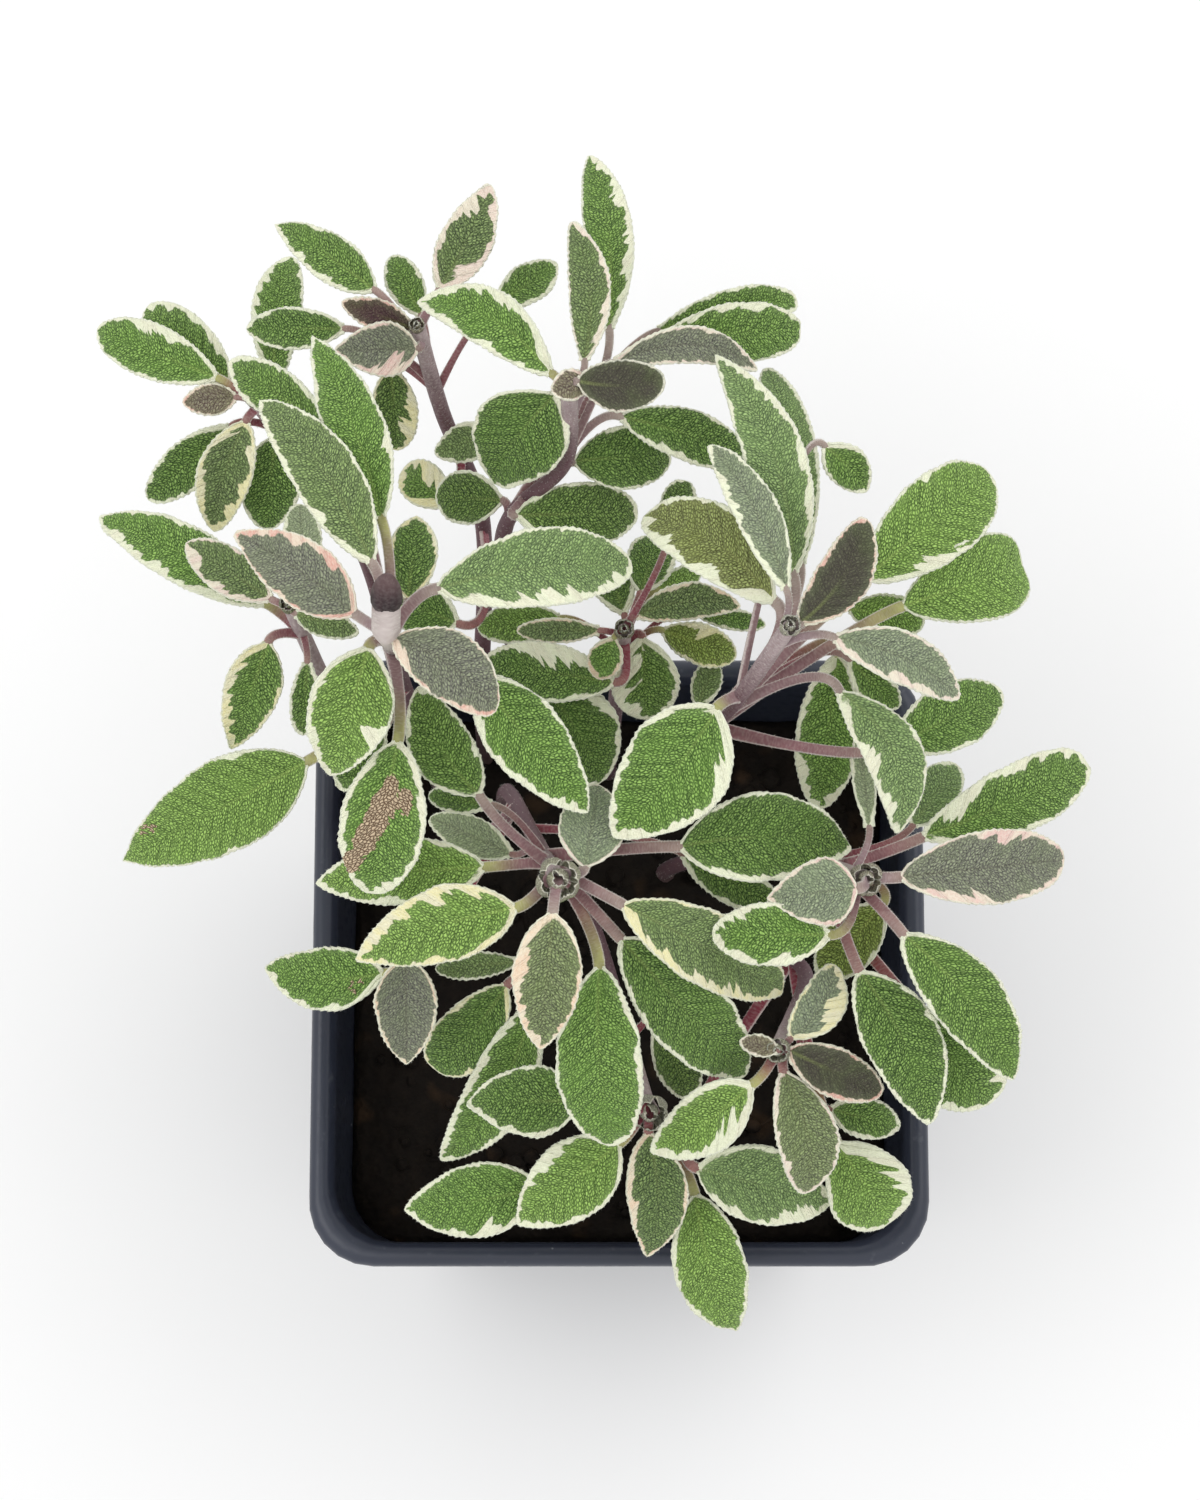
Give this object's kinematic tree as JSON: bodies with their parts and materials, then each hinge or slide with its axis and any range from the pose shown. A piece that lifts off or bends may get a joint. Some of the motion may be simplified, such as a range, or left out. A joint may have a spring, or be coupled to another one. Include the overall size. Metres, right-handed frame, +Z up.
{
  "type": "potted tricolor sage",
  "caption": "Variegated sage plant in a square black nursery pot: leafy stems rise from the soil and fan out past the rim. Rests on its flat base.",
  "frame": {"origin": "centre of the pot's flat underside, on which it stands", "axes": "+Z up; -Y towards the side nearest the viewer in the picture, whose top edge is +Y; +X to the right as seen there"},
  "size_m": [0.1908, 0.2163, 0.241],
  "materials": {
    "pot": "satin moulded black plastic",
    "soil": "rough moist potting mix",
    "leaves": "soft, finely hairy, green with cream and pink margins"
  },
  "bodies": {
    "root": {"pot": "pot", "soil": "soil", "leafy_stem_a": "leaves", "leafy_stem_b": "leaves", "leafy_stem_c": "leaves", "leafy_stem_d": "leaves", "leafy_stem_e": "leaves", "leafy_stem_f": "leaves", "leafy_stem_g": "leaves", "leafy_stem_h": "leaves", "leafy_stem_i": "leaves", "leafy_stem_j": "leaves", "leafy_stem_k": "leaves"}
  },
  "joints": []
}
